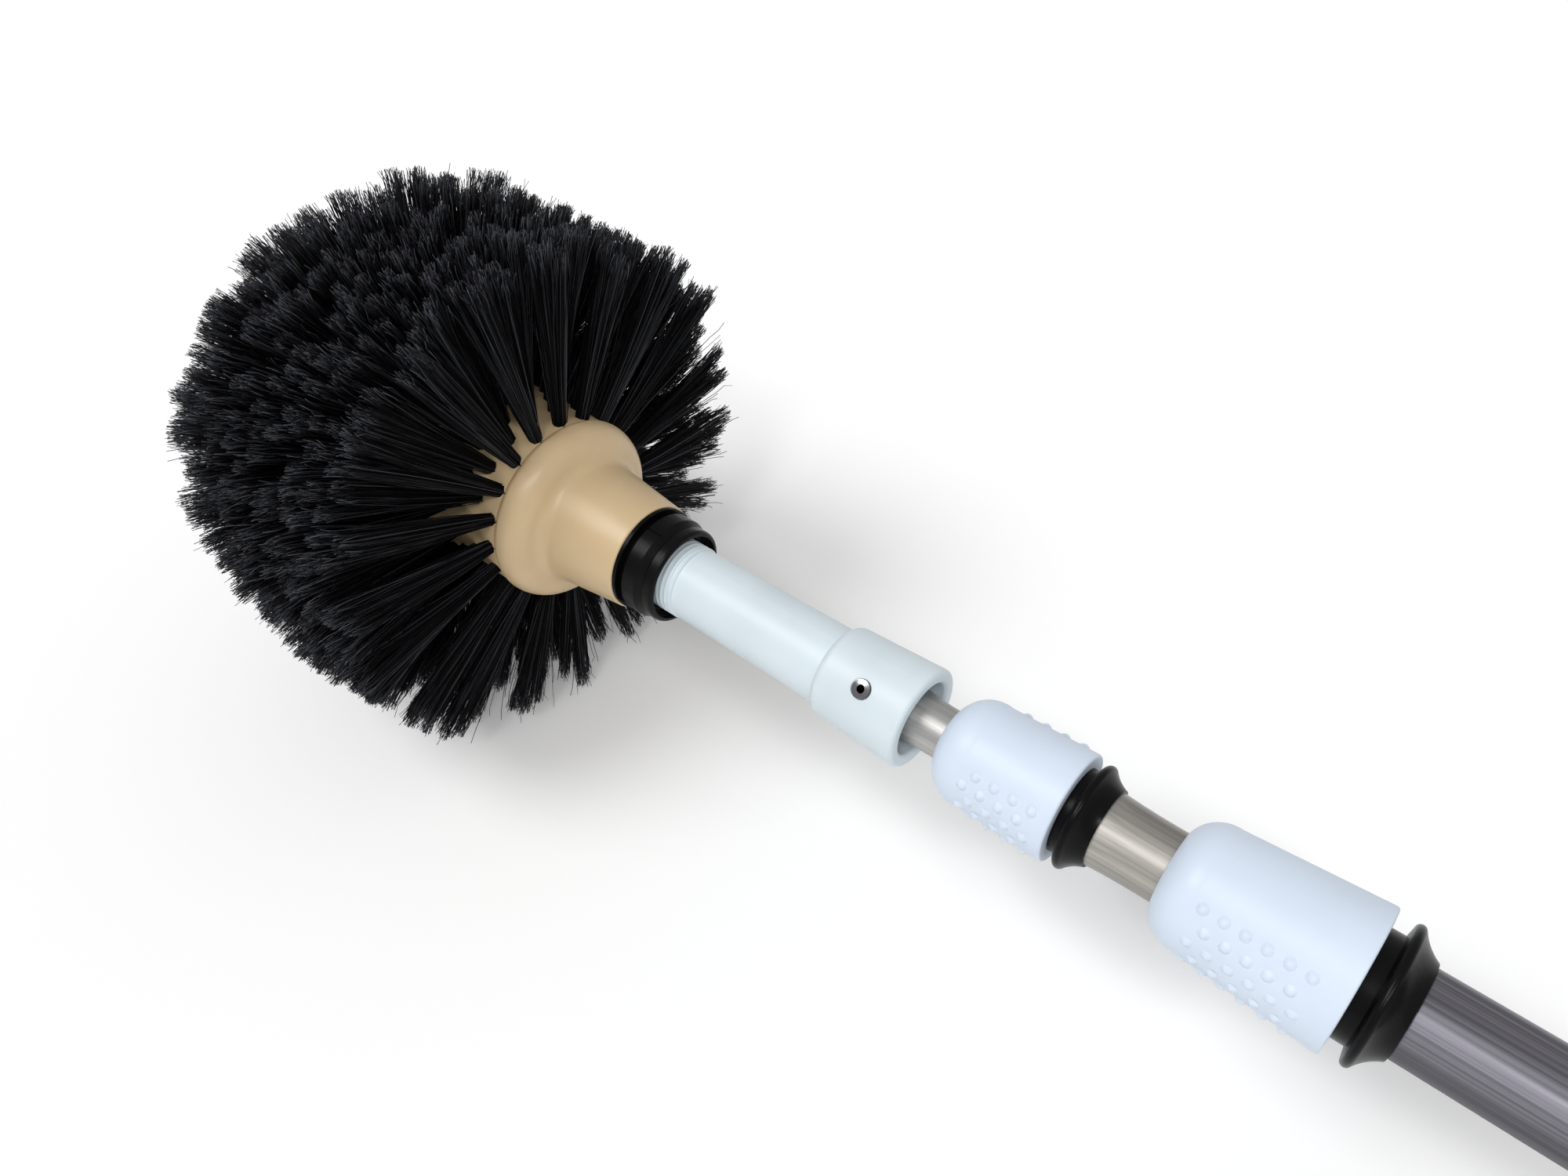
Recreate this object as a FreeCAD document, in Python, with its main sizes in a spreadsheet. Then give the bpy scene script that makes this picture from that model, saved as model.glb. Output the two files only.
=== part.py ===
import FreeCAD, Part
import math
import os
import re

import Sketcher

# Cobweb brush on a three-section telescopic pole
# The pole's axis is X, with the brush at the +X end; +Z is up and the origin is the centre of the
# outer tube's tail end. Every length is in millimetres and every angle in degrees.

# Driving dimensions: name, value, meaning
DIMS = [
    # Clearances
    ("slip_fit", 0.05, "radial play of a sliding, turning or pressed-on round piece"),
    ("free_gap", 0.35, "radial air round a tube that passes through a piece"),
    ("seat_gap", 0.3, "end play between two pieces that must not jam"),
    ("over_cut", 2.0, "reach of a cut past the surface that it opens"),
    # Tubes
    ("outer_r", 14.0, "outer tube, outside radius"),
    ("outer_wall", 1.2, "outer tube, wall"),
    ("outer_len", 1000.0, "outer tube, length"),
    ("seat_step", 0.5, "outer tube, depth of the turned-down seat under the lock's sleeve"),
    ("tail_room", 2.0, "tails, from the plug to the middle tube's bush with the pole closed"),
    ("tail_step", 22.0, "tails, from the middle tube's to the inner tube's with the pole closed"),
    ("mid_r", 11.75, "middle tube, outside radius"),
    ("mid_wall", 1.1, "middle tube, wall"),
    ("mid_grow", 0.65, "middle tube, growth of radius at its flared front end"),
    ("mid_cone", 18.0, "middle tube, length of the flare"),
    ("mid_sweep", 240.0, "middle tube, radius of the hollow flare"),
    ("mid_show", 22.0, "middle tube seen between the two locks"),
    ("inner_r", 8.75, "inner tube, outside radius"),
    ("inner_wall", 1.0, "inner tube, wall"),
    ("inner_grow", 1.3, "inner tube, growth of radius at its flared front end"),
    ("inner_cone", 14.0, "inner tube, length of the flare"),
    ("inner_sweep", 70.0, "inner tube, radius of the hollow flare"),
    ("inner_tuck", 6.0, "inner tube, from the adapter's open end to the end of the flare"),
    ("inner_show", 10.8, "inner tube seen between the upper lock and the adapter"),
    # Tail plug and guide bushes
    ("plug_cap", 3.0, "tail plug, thickness of its cap"),
    ("plug_edge", 1.2, "tail plug, rounding of its cap"),
    ("plug_inset", 0.4, "tail plug, cap's radius less than the tube's"),
    ("plug_depth", 24.0, "tail plug, length inside the tube"),
    ("plug_wall", 2.0, "tail plug, wall of its hollow stem"),
    ("bush_lip", 2.0, "guide bush, thickness of the lip over the tube's end"),
    ("bush_len", 30.0, "guide bush, length on the tube"),
    # Lower lock, on the outer tube's front end
    ("lower_cover", 19.5, "base sleeve, length on the tube"),
    ("lower_edge", 1.7, "base sleeve, thickness of the skirt's rear edge"),
    ("lower_sweep", 15.0, "base sleeve, radius of the hollow skirt"),
    ("lower_lip_r", 22.2, "base sleeve, radius of the lip"),
    ("lower_lip_back", 6.4, "base sleeve, from its rear edge to the lip"),
    ("lower_neck_r", 17.3, "base sleeve, radius of the neck that the collar turns on"),
    ("lower_spigot", 24.0, "base sleeve, length of the neck ahead of the tube"),
    ("lower_tuck", 5.0, "collar, length behind the tube's front end"),
    ("lower_nose", 51.5, "collar, length ahead of the tube's front end"),
    ("lower_back_r", 23.2, "collar, radius near its rear rim"),
    ("lower_side", 11.5, "collar, length of the domed nose"),
    ("lower_side_r", 20.4, "collar, radius where the nose begins"),
    ("lower_dome", 11.4, "collar, radius of the domed nose"),
    # Upper lock, on the middle tube's front end
    ("upper_cover", 22.5, "base sleeve, length on the tube"),
    ("upper_edge", 0.8, "base sleeve, thickness of the skirt's rear edge"),
    ("upper_sweep", 12.0, "base sleeve, radius of the hollow skirt"),
    ("upper_lip_r", 17.8, "base sleeve, radius of the lip"),
    ("upper_lip_back", 5.4, "base sleeve, from its rear edge to the lip"),
    ("upper_neck_r", 14.4, "base sleeve, radius of the neck that the collar turns on"),
    ("upper_spigot", 8.0, "base sleeve, length of the neck ahead of the tube"),
    ("upper_tuck", 11.0, "collar, length behind the tube's front end"),
    ("upper_nose", 33.2, "collar, length ahead of the tube's front end"),
    ("upper_back_r", 18.8, "collar, radius near its rear rim"),
    ("upper_side", 13.0, "collar, length of the domed nose"),
    ("upper_side_r", 17.9, "collar, radius where the nose begins"),
    ("upper_dome", 11.6, "collar, radius of the domed nose"),
    # Sizes that both locks share
    ("lip_wide", 2.8, "base sleeve, width of the rounded lip"),
    ("lip_round", 1.6, "base sleeve, radius of the rounded lip"),
    ("lip_drop", 0.8, "base sleeve, length of the lip's front slope"),
    ("rim_round", 0.9, "collar, rounding of the rear rim"),
    ("mouth_gap", 0.75, "collar, air round the tube at its mouth"),
    ("mouth_len", 3.0, "collar, length of its mouth"),
    ("mouth_flat", 0.7, "collar, flat edge round its mouth"),
    ("cone_start", 2.0, "collar, from the end of the neck to its clamping cone"),
    ("wedge_gap", 0.1, "air between the clamping cone and the collet"),
    ("slot_half", 0.8, "collet, half the width of its slots"),
    ("slot_land", 4.0, "collet, unslotted length at its rear"),
    ("slot_pairs", 2, "collet, pairs of opposite slots"),
    # Adapter
    ("adapter_length", 97.0, "adapter, from its open end to the thread's shoulder"),
    ("adapter_back_r", 18.1, "adapter, collar radius at the open end"),
    ("adapter_step_r", 16.7, "adapter, collar radius at the step"),
    ("adapter_step", 32.0, "adapter, from the open end to the step"),
    ("adapter_round", 3.4, "adapter, length and radius of the rounded step"),
    ("adapter_lip", 1.6, "adapter, rounding of the open end"),
    ("barrel_back_r", 14.05, "adapter, barrel radius at the step"),
    ("barrel_front_r", 13.25, "adapter, barrel radius at the thread's shoulder"),
    ("recess_r", 13.2, "adapter, radius of the recess in the open end"),
    ("recess_len", 9.0, "adapter, depth of that recess"),
    ("socket_len", 68.0, "adapter, from the open end to the tube's seat"),
    ("hollow_r", 8.0, "adapter, radius of the hollow ahead of the tube"),
    ("screw_r", 12.9, "adapter, radius of the screwed spigot under its thread"),
    ("screw_len", 39.0, "adapter, length of the screwed spigot"),
    ("screw_lead", 1.6, "adapter, chamfer at the spigot's end"),
    # Eyelet rivet
    ("rivet_x", 17.4, "rivet, from the adapter's open end"),
    ("rivet_turn", 48.9, "rivet, angle up from +Y"),
    ("rivet_sink", 0.4, "rivet, depth of the flat it sits on"),
    ("rivet_head_r", 3.5, "rivet, radius of its head"),
    ("rivet_head", 1.2, "rivet, height of its head"),
    ("rivet_r", 1.9, "rivet, radius of its shank"),
    ("rivet_hole_r", 1.3, "rivet, radius of its hole"),
    ("rivet_tail", 2.2, "rivet, length of the tail inside the tube"),
    ("rivet_tail_r", 2.7, "rivet, radius of the tail"),
    # Screw insert in the head
    ("thread_show", 7.0, "thread seen between the adapter's shoulder and the insert"),
    ("sleeve_r", 15.6, "threaded sleeve, outside radius"),
    ("sleeve_len", 36.0, "threaded sleeve, length"),
    ("thread_deep", 0.8, "thread, height of its ridges above the spigot"),
    ("sleeve_mouth_r", 14.3, "threaded sleeve, radius of the entry"),
    ("sleeve_mouth", 8.0, "threaded sleeve, length of the entry"),
    ("ring_length", 17.0, "insert ring, length behind the hub's rim"),
    ("ring_mouth_r", 16.4, "insert ring, radius of its open end"),
    ("ring_end_r", 18.2, "insert ring, radius of the end flange"),
    ("ring_end", 4.0, "insert ring, length of the end flange"),
    ("ring_dip_r", 16.9, "insert ring, radius of the waist"),
    ("ring_band_r", 19.3, "insert ring, radius of the middle band"),
    ("ring_band", 5.6, "insert ring, length of the middle band"),
    ("ring_groove_r", 17.3, "insert ring, radius of the groove"),
    ("ring_groove", 2.6, "insert ring, width of the groove"),
    ("ring_top_r", 20.0, "insert ring, radius of the ring against the hub"),
    ("ring_round", 1.5, "insert ring, rounding of the end flange"),
    ("slit_half", 0.4, "insert ring, half the slit's width"),
    ("slit_deep", 0.9, "insert ring, depth of the slit"),
    ("slit_turn", 79.5, "insert ring, angle of the slit up from +Y"),
    # Ferrule
    ("ferrule_length", 45.0, "ferrule, from its rim to the core"),
    ("neck_rim_r", 20.7, "ferrule, neck radius at its rim"),
    ("neck_root_r", 23.9, "ferrule, neck radius where the bell begins"),
    ("neck_len", 28.0, "ferrule, length of the neck"),
    ("neck_edge", 0.8, "ferrule, rounding of the rim"),
    ("bell_hollow", 5.65, "ferrule, radius of the hollow under the bell"),
    ("bell_len", 4.85, "ferrule, length of the hollow under the bell"),
    ("bell_mid_r", 28.2, "ferrule, radius where the hollow ends"),
    ("bell_r", 35.8, "ferrule, largest radius"),
    ("bell_turn", 9.65, "ferrule, from the end of the hollow to the largest radius"),
    ("bell_round", 9.95, "ferrule, radius of the bell's shoulder"),
    ("bell_front", 2.7, "ferrule, radius of the bell's front edge"),
    ("groove_deep", 0.9, "ferrule, depth of the line between ferrule and core"),
    ("stem_r", 24.0, "core, radius of the stem in the ferrule"),
    ("stem_len", 12.0, "core, length of that stem"),
    # Tufted core
    ("core_r", 35.0, "core, radius of its straight part and of its dome"),
    ("core_len", 62.0, "core, length of its straight part"),
    ("row_first", 2.4, "rows, from the core's rear face to the first row"),
    ("row_pitch", 8.4, "rows, distance on the straight part"),
    ("row_count", 8, "rows, number on the straight part"),
    ("row_tufts", 19, "rows, tufts in each row on the straight part"),
    ("row_lean", 5.0, "rows, lean of the straight part's tufts towards the front"),
    ("row_phase", -9.7, "rows, turn of the first row about the axis"),
    ("dome_rows", 5, "rows, number on the dome"),
    ("tuft_spacing", 11.6, "rows, least distance between tufts round a row of the dome"),
    ("hole_r", 2.5, "tuft holes, radius over corners"),
    ("hole_depth", 8.0, "tuft holes, depth"),
    ("tuft_play", 0.05, "tufts, play at the hole's mouth"),
    ("tuft_free", 72.5, "tufts, length outside the core"),
    ("tuft_flare", 2.3, "tufts, slope of their sides"),
]

doc = FreeCAD.newDocument("CobwebBrush")
sheet = doc.addObject("Spreadsheet::Sheet", "Dims")
for line, (alias, number, meaning) in enumerate(DIMS, start=1):
    sheet.set("A%d" % line, meaning)
    sheet.set("B%d" % line, str(number))
    sheet.setAlias("B%d" % line, alias)
doc.recompute()

NAME = re.compile(r"[a-z][a-z_]*")
TERM = re.compile(r"([+-]?)\s*([a-z][a-z_]*|[0-9.]+)")


def size(alias):
    """The sheet's number under one name."""
    return float(sheet.get(alias))


def total(text):
    """The value of a sum such as 'mid_r - mid_wall'."""
    amount = 0.0
    for sign, word in TERM.findall(text):
        term = size(word) if word[0].isalpha() else float(word)
        amount += -term if sign == "-" else term
    return amount


def bound(text):
    """The same sum as an expression on the sheet's cells."""
    return NAME.sub(lambda word: "Dims." + word.group(0), text)


# Stations along the pole, each as a sum of driving dimensions
LOWER = "outer_len"
UPPER = LOWER + " + lower_nose + mid_show + upper_cover"
TIP = UPPER + " + upper_nose + inner_show"
HEAD = TIP + " + adapter_length + thread_show"
RIM = HEAD + " + ring_length"
CORE = RIM + " + ferrule_length"

bodies = []


def new_body(label, station="0"):
    """A body whose own origin lies at a station on the pole's axis."""
    body = doc.addObject("PartDesign::Body", label)
    body.Label = label
    body.setExpression("Placement.Base.x", bound(station))
    bodies.append(body)
    return body


def origin(body, role):
    """One of a body's own origin planes or axes."""
    return next(f for f in body.Origin.OriginFeatures if f.Role == role)


def new_sketch(body, name, role, offset=None):
    """A sketch on one of the body's origin planes."""
    sketch = body.newObject("Sketcher::SketchObject", name)
    sketch.AttachmentSupport = (origin(body, role), [""])
    sketch.MapMode = "FlatFace"
    if offset is not None:
        sketch.AttachmentOffset = offset
    return sketch


def fix_point(sketch, geo, end, along, across):
    """Ties one point of a sketch to two sums of driving dimensions."""
    for kind, text in (("DistanceX", along), ("DistanceY", across)):
        if text == "0":
            axis = -2 if kind == "DistanceX" else -1
            sketch.addConstraint(Sketcher.Constraint("PointOnObject", geo, end, axis))
            continue
        row = sketch.addConstraint(Sketcher.Constraint(kind, -1, 1, geo, end, total(text)))
        sketch.setExpression("Constraints[%d]" % row, bound(text))


def arc_between(start, end, radius, side):
    """A minor arc between two points; side 1 bulges to the left of the way from start to end."""
    middle = (start + end) * 0.5
    half = (end - start) * 0.5
    normal = FreeCAD.Vector(-half.y, half.x, 0) / half.Length
    reach = math.sqrt(max(radius ** 2 - half.Length ** 2, 0.0))
    centre = middle - normal * reach * side
    first, last = (end, start) if side > 0 else (start, end)
    angles = [math.atan2(p.y - centre.y, p.x - centre.x) for p in (first, last)]
    if angles[1] < angles[0]:
        angles[1] += 2 * math.pi
    return Part.ArcOfCircle(Part.Circle(centre, FreeCAD.Vector(0, 0, 1), radius), *angles)


def draw_outline(sketch, outline):
    """A closed outline of corners (along, across); one with a radius and a side is reached by an arc."""
    points = [FreeCAD.Vector(total(c[0]), total(c[1]), 0) for c in outline]
    ends = []
    for i, corner in enumerate(outline):
        start, end = points[i - 1], points[i]
        if len(corner) == 2:
            geo = sketch.addGeometry(Part.LineSegment(start, end), False)
            ends.append((geo, 1, 2))
        else:
            side = corner[3]
            geo = sketch.addGeometry(arc_between(start, end, total(corner[2]), side), False)
            row = sketch.addConstraint(Sketcher.Constraint("Radius", geo, total(corner[2])))
            sketch.setExpression("Constraints[%d]" % row, bound(corner[2]))
            ends.append((geo, 2, 1) if side > 0 else (geo, 1, 2))
    for i, corner in enumerate(outline):
        geo, _, last = ends[i]
        follower, first, _ = ends[(i + 1) % len(ends)]
        sketch.addConstraint(Sketcher.Constraint("Coincident", geo, last, follower, first))
        fix_point(sketch, geo, last, corner[0], corner[1])


def turned(label, station, outline):
    """A piece turned about the pole's axis from an outline of (along, radius)."""
    body = new_body(label, station)
    sketch = new_sketch(body, label + "_outline", "XZ_Plane")
    draw_outline(sketch, outline)
    turn = body.newObject("PartDesign::Revolution", label + "_turn")
    turn.Profile = sketch
    turn.ReferenceAxis = (sketch, ["H_Axis"])
    turn.Angle = 360
    sketch.Visibility = False
    return body


def cut(body, name, sketch, length, forward=False):
    """Cuts a sketch's outline out of a body, against the sketch's normal unless forward."""
    pocket = body.newObject("PartDesign::Pocket", name)
    pocket.Profile = sketch
    pocket.Type = "Length"
    pocket.setExpression("Length", bound(length))
    pocket.Reversed = forward
    pocket.Refine = False
    return pocket


def pattern(body, name, feature, copies):
    """Repeats a feature evenly round the pole's axis."""
    ring = body.newObject("PartDesign::PolarPattern", name)
    ring.Originals = [feature]
    ring.Axis = (origin(body, "X_Axis"), [""])
    ring.Angle = 360
    ring.Occurrences = copies
    ring.Refine = False
    body.Tip = ring
    return ring


def radial(along, out, turn):
    """A placement whose +Z points away from the axis, at an angle up from +Y."""
    spin = FreeCAD.Rotation(FreeCAD.Vector(1, 0, 0), turn - 90)
    return FreeCAD.Placement(FreeCAD.Vector(along, 0, 0) + spin.multVec(FreeCAD.Vector(0, 0, out)), spin)


# Tubes: drawn tube, the outer one turned down under its lock and the inner two opened out at the front
OUTER_SEAT = "outer_r - seat_step"
turned("outer_tube", "0", [
    ("0", "outer_r - outer_wall"),
    ("outer_len", "outer_r - outer_wall"),
    ("outer_len", OUTER_SEAT),
    ("outer_len - lower_cover - seat_gap", OUTER_SEAT),
    ("outer_len - lower_cover - seat_gap", "outer_r"),
    ("0", "outer_r")])


def flared_tube(label, station, name, length, cone_end):
    """A tube with its front end opened out over a short cone and a straight land."""
    radius, grow, wall = name + "_r", name + "_grow", name + "_wall"
    cone_start = "%s - %s_cone" % (cone_end, name)
    sweep = name + "_sweep"
    return turned(label, station, [
        ("0", "%s - %s" % (radius, wall)),
        (cone_start, "%s - %s" % (radius, wall)),
        (cone_end, "%s + %s - %s" % (radius, grow, wall), sweep, -1),
        (length, "%s + %s - %s" % (radius, grow, wall)),
        (length, "%s + %s" % (radius, grow)),
        (cone_end, "%s + %s" % (radius, grow)),
        (cone_start, radius, sweep, 1),
        ("0", radius)])


MID_TAIL = "plug_depth + tail_room + bush_lip"
MID_LEN = UPPER + " - plug_depth - tail_room - bush_lip"
INNER_TAIL = MID_TAIL + " + tail_step"
INNER_OPEN = TIP + " - plug_depth - tail_room - bush_lip - tail_step"
flared_tube("mid_tube", MID_TAIL, "mid", MID_LEN, MID_LEN + " - upper_cover")
inner_tube = flared_tube(
    "inner_tube", INNER_TAIL, "inner", INNER_OPEN + " + socket_len", INNER_OPEN + " + inner_tuck")


def guide_bush(label, station, tube, hole):
    """A plastic bush on a tube's tail, running in the next tube."""
    inside = "%s_r - %s_wall" % (tube, tube)
    seat = "%s_r + slip_fit" % tube
    outside = "%s_r - %s_wall - slip_fit" % (hole, hole)
    turned(label, station + " - bush_lip", [
        ("0", inside),
        ("bush_lip", inside),
        ("bush_lip", seat),
        ("bush_lip + bush_len", seat),
        ("bush_lip + bush_len", outside),
        ("0", outside)])


guide_bush("mid_tube_bush", MID_TAIL, "mid", "outer")
guide_bush("inner_tube_bush", INNER_TAIL, "inner", "mid")

# Tail plug: flush cap on a hollow stem
STEM = "outer_r - outer_wall - slip_fit"
turned("tail_plug", "0 - plug_cap", [
    ("0", "0"),
    ("plug_cap", "0"),
    ("plug_cap", STEM + " - plug_wall"),
    ("plug_cap + plug_depth", STEM + " - plug_wall"),
    ("plug_cap + plug_depth", STEM),
    ("plug_cap", STEM),
    ("plug_cap", "outer_r - plug_inset"),
    ("plug_edge", "outer_r - plug_inset"),
    ("0", "outer_r - plug_inset - plug_edge", "plug_edge", -1)])


# Twist locks
def twist_lock(name, station, tube_r, pass_r):
    """Base sleeve, collet and collar of one lock, on the front end of a tube that another tube leaves."""
    def own(text):
        return text.replace("@", name + "_")

    bore = tube_r + " + slip_fit"
    clear = pass_r + " + free_gap"
    lip = own("@lip_back")
    front = own("@cover + @spigot")
    turned(own("@base_sleeve"), station + own(" - @cover"), [
        ("0", bore),
        (own("@cover"), bore),
        (own("@cover"), clear),
        (front, clear),
        (front, own("@neck_r")),
        (lip + " + lip_wide + lip_drop", own("@neck_r")),
        (lip + " + lip_wide", own("@lip_r - lip_drop")),
        (lip, own("@lip_r - lip_drop"), "lip_round", -1),
        ("0", bore + own(" + @edge"), own("@sweep"), 1)])

    collar_bore = own("@neck_r + slip_fit")
    mouth = pass_r + " + mouth_gap"
    length = own("@tuck + @nose")
    cone_back = own("@tuck + @spigot + cone_start")
    cone_front = length + " - mouth_len"
    turned(own("@twist_collar"), station + own(" - @tuck"), [
        ("0", collar_bore),
        (cone_back, collar_bore),
        (cone_front, mouth),
        (length, mouth),
        (length, mouth + " + mouth_flat"),
        (length + own(" - @side"), own("@side_r"), own("@dome"), -1),
        ("rim_round", own("@back_r")),
        ("0", own("@back_r - rim_round"), "rim_round", -1)])

    grip = pass_r + " + slip_fit"
    reach = own("@nose - @spigot - mouth_len - seat_gap")
    land = "cone_start - seat_gap"
    collet = turned(own("@collet"), station + own(" + @spigot + seat_gap"), [
        ("0", grip),
        (reach, grip),
        (reach, mouth + " - wedge_gap"),
        (land, collar_bore + " - wedge_gap"),
        ("0", collar_bore + " - wedge_gap")])
    slot = new_sketch(collet, own("@collet_slot"), "YZ_Plane")
    slot.setExpression("AttachmentOffset.Base.z", bound("slot_land"))
    draw_outline(slot, [
        ("0 - slot_half", own("0 - @neck_r - slip_fit - over_cut")),
        ("slot_half", own("0 - @neck_r - slip_fit - over_cut")),
        ("slot_half", collar_bore + " + over_cut"),
        ("0 - slot_half", collar_bore + " + over_cut")])
    pocket = cut(collet, own("@collet_cut"), slot, reach, forward=True)
    slots = pattern(collet, own("@collet_cuts"), pocket, int(size("slot_pairs")))
    slots.Angle = 180 * (1 - 1 / size("slot_pairs"))


twist_lock("lower", LOWER, OUTER_SEAT, "mid_r")
twist_lock("upper", UPPER, "mid_r + mid_grow", "inner_r")

# Adapter: stepped collar round the tube, tapering barrel, screwed spigot, hollow to its end
TUBE_SEAT = "inner_r + inner_grow + slip_fit"
adapter = turned("adapter", TIP, [
    ("recess_len", TUBE_SEAT),
    ("socket_len", TUBE_SEAT),
    ("socket_len", "hollow_r"),
    ("adapter_length + screw_len", "hollow_r"),
    ("adapter_length + screw_len", "screw_r - screw_lead"),
    ("adapter_length + screw_len - screw_lead", "screw_r"),
    ("adapter_length", "screw_r"),
    ("adapter_length", "barrel_front_r"),
    ("adapter_step + adapter_round", "barrel_back_r"),
    ("adapter_step", "adapter_step_r", "adapter_round", -1),
    ("adapter_lip", "adapter_back_r"),
    ("0", "adapter_back_r - adapter_lip", "adapter_lip", -1),
    ("0", "recess_r + adapter_lip"),
    ("adapter_lip", "recess_r", "adapter_lip", -1),
    ("recess_len", "recess_r")])


# Eyelet rivet through the adapter's collar into the tube
def round_cut(body, name, along, start, radius, length):
    """A round hole towards the axis at the rivet's angle."""
    plane = radial(total(along), total(start), size("rivet_turn"))
    sketch = new_sketch(body, name + "_circle", "XY_Plane", plane)
    sketch.addGeometry(Part.Circle(FreeCAD.Vector(), FreeCAD.Vector(0, 0, 1), total(radius)), False)
    sketch.addConstraint(Sketcher.Constraint("Coincident", 0, 3, -1, 1))
    row = sketch.addConstraint(Sketcher.Constraint("Radius", 0, total(radius)))
    sketch.setExpression("Constraints[%d]" % row, bound(radius))
    return cut(body, name, sketch, length)


taper = (size("adapter_back_r") - size("adapter_step_r")) / (size("adapter_step") - size("adapter_lip"))
surface = size("adapter_back_r") - taper * (size("rivet_x") - size("adapter_lip"))
seat = surface - size("rivet_sink")
RIVET_HOLE = "rivet_r + slip_fit"
TOP = "adapter_back_r + rivet_head"
round_cut(adapter, "rivet_hole", "rivet_x", TOP, RIVET_HOLE, TOP)
SLOPE = "(adapter_back_r - adapter_step_r) / (adapter_step - adapter_lip)"
round_cut(adapter, "rivet_flat", "rivet_x", TOP, "rivet_head_r + seat_gap",
          "rivet_head + rivet_sink + (rivet_x - adapter_lip) * " + SLOPE)
round_cut(inner_tube, "tube_hole", INNER_OPEN + " + rivet_x", TOP, RIVET_HOLE, TOP)

rivet = doc.addObject("PartDesign::Body", "rivet")
rivet.Label = "rivet"
bodies.append(rivet)
outline = new_sketch(rivet, "rivet_outline", "XZ_Plane")
grip = seat - (size("inner_r") + size("inner_grow") - size("inner_wall"))
draw_outline(outline, [
    ("rivet_hole_r", "0 - %.4f - rivet_tail" % grip),
    ("rivet_r", "0 - %.4f - rivet_tail" % grip),
    ("rivet_tail_r", "0 - %.4f - seat_gap - seat_gap" % grip),
    ("rivet_r", "0 - %.4f - seat_gap" % grip),
    ("rivet_r", "0"),
    ("rivet_head_r", "0"),
    ("rivet_head_r - seat_gap", "rivet_head - seat_gap"),
    ("rivet_hole_r + seat_gap", "rivet_head"),
    ("rivet_hole_r", "rivet_head - seat_gap")])
turn = rivet.newObject("PartDesign::Revolution", "rivet_turn_body")
turn.Profile = outline
turn.ReferenceAxis = (outline, ["V_Axis"])
turn.Angle = 360
rivet.Placement = radial(total(TIP) + size("rivet_x"), seat, size("rivet_turn"))

# Screw insert: threaded sleeve inside the neck, and the grooved ring that shows behind the rim
turned("threaded_sleeve", HEAD + " + ring_end", [
    ("0", "sleeve_mouth_r"),
    ("sleeve_mouth", "sleeve_mouth_r"),
    ("sleeve_mouth", "screw_r + thread_deep + slip_fit"),
    ("sleeve_len", "screw_r + thread_deep + slip_fit"),
    ("sleeve_len", "sleeve_r"),
    ("0", "sleeve_r")])

RING_SEAT = "sleeve_r + slip_fit"
GROOVE = "ring_length - ring_round - ring_groove"
insert_ring = turned("insert_ring", HEAD, [
    ("0", "ring_mouth_r"),
    ("ring_end - seat_gap", "ring_mouth_r"),
    ("ring_end - seat_gap", RING_SEAT),
    ("ring_length", RING_SEAT),
    ("ring_length", "ring_top_r"),
    ("ring_length - ring_round", "ring_top_r"),
    ("ring_length - ring_round", "ring_groove_r"),
    (GROOVE, "ring_groove_r"),
    (GROOVE, "ring_band_r"),
    (GROOVE + " - ring_band", "ring_band_r"),
    ("ring_end + seat_gap", "ring_dip_r"),
    ("ring_end", "ring_end_r"),
    ("ring_round", "ring_end_r"),
    ("0", "ring_end_r - ring_round", "ring_round", -1)])
slit = new_sketch(insert_ring, "slit_outline", "XY_Plane",
                  radial(0, total("ring_band_r + over_cut"), size("slit_turn")))
draw_outline(slit, [
    ("ring_end + seat_gap", "0 - slit_half"),
    (GROOVE, "0 - slit_half"),
    (GROOVE, "slit_half"),
    ("ring_end + seat_gap", "slit_half")])
cut(insert_ring, "slit_cut", slit, "slit_deep + over_cut")

# Ferrule: tapering neck that flows by a hollow curve into the round-edged bell
BORE = "sleeve_r + slip_fit"
SHELF = "ferrule_length - stem_len - slip_fit"
turned("ferrule", RIM, [
    ("0", BORE),
    (SHELF, BORE),
    (SHELF, "stem_r + slip_fit"),
    ("ferrule_length", "stem_r + slip_fit"),
    ("ferrule_length", "bell_r - groove_deep - groove_deep"),
    ("neck_len + bell_len + bell_turn", "bell_r", "bell_front", -1),
    ("neck_len + bell_len", "bell_mid_r", "bell_round", -1),
    ("neck_len", "neck_root_r", "bell_hollow", 1),
    ("neck_edge", "neck_rim_r"),
    ("0", "neck_rim_r - neck_edge", "neck_edge", -1)])


# Core: bullet-shaped block with a stem, drilled for every tuft
def tuft_rows():
    """Each row's name, station, radius, tilt from square to the axis, number of tufts and turn."""
    rows = []
    lean = size("row_lean")
    for i in range(int(size("row_count"))):
        station = size("row_first") + i * size("row_pitch")
        rows.append((station, size("core_r"), lean, int(size("row_tufts"))))
    dome_step = 90.0 / (size("dome_rows") + 1)
    for i in range(1, int(size("dome_rows")) + 1):
        angle = math.radians(i * dome_step)
        radius = size("core_r") * math.cos(angle)
        station = size("core_len") + size("core_r") * math.sin(angle)
        count = max(int(2 * math.pi * radius / size("tuft_spacing")), 3)
        rows.append((station, radius, lean + (90 - lean) * i * dome_step / 90, count))
    rows.append((size("core_len") + size("core_r"), 0.0, 90.0, 1))
    named = []
    for i, (station, radius, tilt, count) in enumerate(rows):
        turn = size("row_phase") + (180.0 / count if i % 2 else 0.0)
        named.append(("tufts_row_%02d" % (i + 1), station, radius, tilt, count, turn))
    return named


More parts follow.
